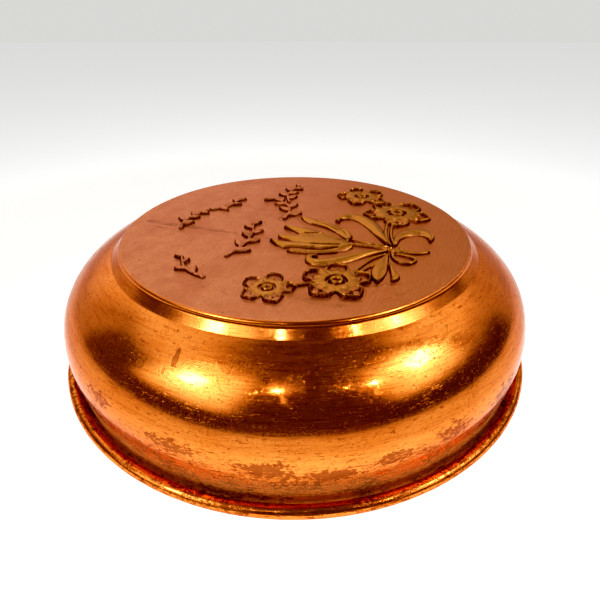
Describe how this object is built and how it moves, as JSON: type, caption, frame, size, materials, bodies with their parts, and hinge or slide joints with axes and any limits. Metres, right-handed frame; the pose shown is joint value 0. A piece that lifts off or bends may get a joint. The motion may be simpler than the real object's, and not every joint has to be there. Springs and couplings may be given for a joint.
{
  "type": "embossed cake mould",
  "caption": "Round copper mould with bulging sides, an embossed floral base, a rolled wire rim, a tinned inside and a swinging ring to hang it by.",
  "frame": {"origin": "centre of the mouth, on the plane that the rim rests on when the mould stands upside down", "axes": "+Z from the mouth towards the embossed base; +Y towards the hanging ring, which is the top of the bouquet; +X to its right seen from outside"},
  "size_m": [0.22, 0.2405, 0.0558],
  "materials": {
    "copper": "worn polished copper with patina",
    "steel_wire": "plain drawn wire",
    "tin": "dull wiped tin",
    "strap_copper": "dulled copper strip",
    "rivet_copper": "hammered copper",
    "ring_brass": "aged drawn brass"
  },
  "bodies": {
    "pan": {"pan_shell": "copper", "rim_wire": "steel_wire", "tin_lining": "tin", "ring_strap": "strap_copper", "strap_rivets": "rivet_copper"},
    "ring": {"hanging_ring": "ring_brass"}
  },
  "joints": [
    {"name": "ring_swing", "type": "hinge", "parent": "pan", "child": "ring", "pos_m": [0, 0.10705, 0.007], "axis": [1, 0, 0], "range_deg": [-13, 104]}
  ]
}
